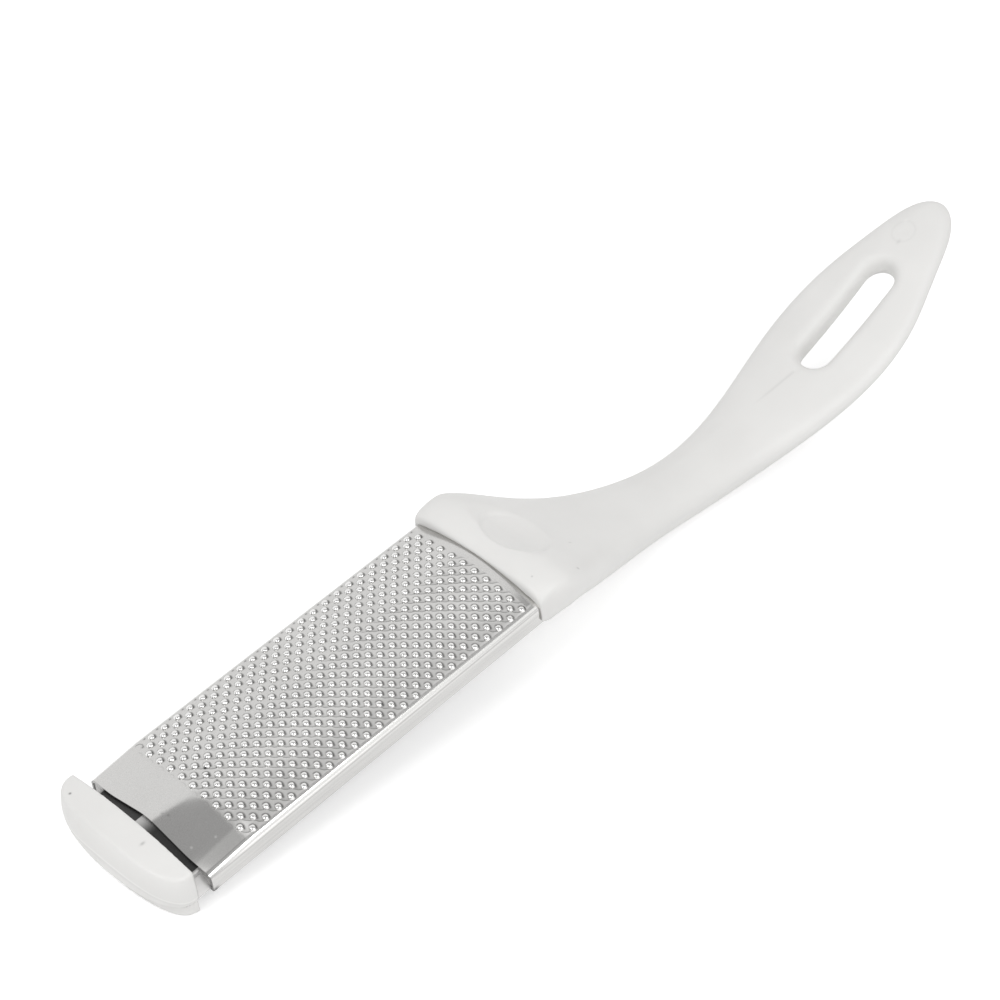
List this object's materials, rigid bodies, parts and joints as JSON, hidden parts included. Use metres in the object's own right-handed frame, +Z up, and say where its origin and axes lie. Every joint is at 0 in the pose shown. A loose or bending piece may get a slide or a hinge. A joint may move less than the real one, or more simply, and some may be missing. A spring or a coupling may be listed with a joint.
{
  "type": "foot rasp",
  "caption": "Foot rasp: an arched steel sheet with raised nubs on a folded carrier, with a white end cap and a cranked white handle that ends in a hanging loop.",
  "frame": {"origin": "centre of the footprint of the bounding box, on the table that the tool lies on", "axes": "+X runs from the end cap to the hanging loop, +Z is up and away from the table with the nubs on top, +Y is to the left seen from the end cap"},
  "size_m": [0.2822, 0.0444, 0.0448],
  "materials": {
    "white_plastic": "smooth moulded, faint sheen",
    "rasp_steel": "satin stainless sheet, polished on the nubs",
    "carrier_steel": "plain mill finish"
  },
  "bodies": {
    "root": {"handle": "white_plastic", "end_cap": "white_plastic", "rasp_sheet": "rasp_steel", "carrier": "carrier_steel"}
  },
  "joints": []
}
